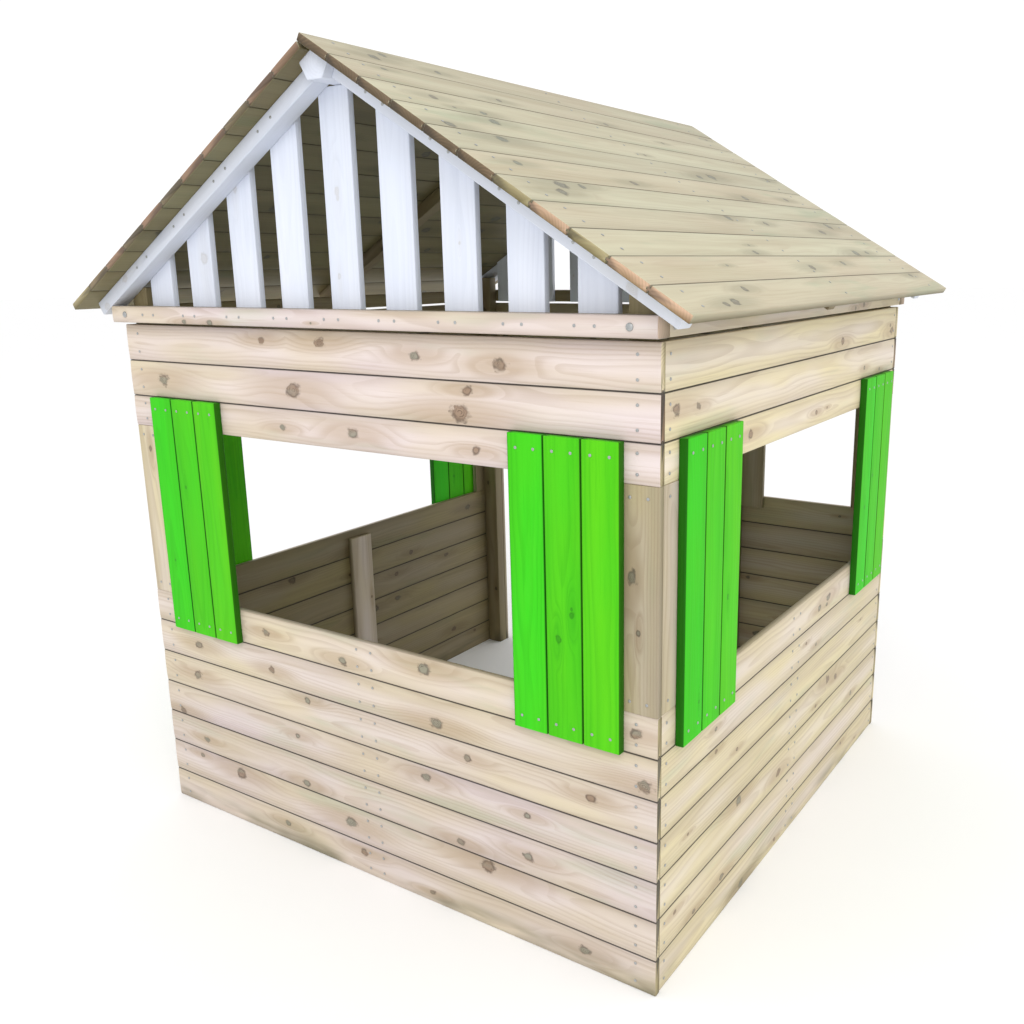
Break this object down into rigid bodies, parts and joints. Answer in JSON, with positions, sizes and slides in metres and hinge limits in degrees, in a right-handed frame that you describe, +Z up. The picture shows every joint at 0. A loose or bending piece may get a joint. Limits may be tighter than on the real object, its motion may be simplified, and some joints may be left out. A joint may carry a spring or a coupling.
{
  "type": "timber playhouse",
  "caption": "Open timber playhouse with tongued board walls, wide windows with fixed shutters, a rear doorway and a gable roof with open slats.",
  "frame": {"origin": "on the ground, under the middle of the roof's outline", "axes": "+Z up; +X to the right of somebody who faces the front gable; the front gable wall faces -Y"},
  "size_m": [1.838, 1.8, 2.012],
  "materials": {
    "treated_pine": "bare planed pressure-treated pine with knots",
    "green_painted_wood": "bright green satin paint over timber",
    "white_painted_wood": "thin white satin paint over timber",
    "roof_pine": "bare planed pine with an olive preservative tint",
    "galvanised_steel": "dull galvanised"
  },
  "bodies": {
    "root": {"middle_rafter_left": "treated_pine", "middle_rafter_right": "treated_pine", "front_lower_cladding": "treated_pine", "front_head_cladding": "treated_pine", "right_lower_cladding": "treated_pine", "right_head_cladding": "treated_pine", "left_lower_cladding": "treated_pine", "left_head_cladding": "treated_pine", "back_head_cladding": "treated_pine", "back_lower_cladding": "treated_pine", "back_corner_board": "treated_pine", "corner_post_front_left": "treated_pine", "corner_post_front_right": "treated_pine", "corner_post_back_left": "treated_pine", "corner_post_back_right": "treated_pine", "door_post": "treated_pine", "front_trim_left": "treated_pine", "front_trim_right": "treated_pine", "back_trim_right": "treated_pine", "door_trim": "treated_pine", "left_trim_front": "treated_pine", "left_trim_back": "treated_pine", "right_trim_front": "treated_pine", "right_trim_back": "treated_pine", "front_batten": "treated_pine", "left_batten": "treated_pine", "right_batten": "treated_pine", "front_base_beam": "treated_pine", "back_base_beam": "treated_pine", "left_eave_plate": "treated_pine", "right_eave_plate": "treated_pine", "front_shutter_left": "green_painted_wood", "front_shutter_right": "green_painted_wood", "right_shutter_front": "green_painted_wood", "right_shutter_back": "green_painted_wood", "left_shutter_front": "green_painted_wood", "left_shutter_back": "green_painted_wood", "front_rafter_left": "white_painted_wood", "front_rafter_right": "white_painted_wood", "back_rafter_left": "white_painted_wood", "back_rafter_right": "white_painted_wood", "ridge_beam": "white_painted_wood", "front_gable_slats": "white_painted_wood", "back_gable_slats": "white_painted_wood", "roof_boards_left": "roof_pine", "roof_boards_right": "roof_pine", "cladding_nails": "galvanised_steel", "shutter_nails": "galvanised_steel", "gable_nails": "galvanised_steel", "roof_nails": "galvanised_steel", "frame_bolts": "galvanised_steel"}
  },
  "joints": []
}
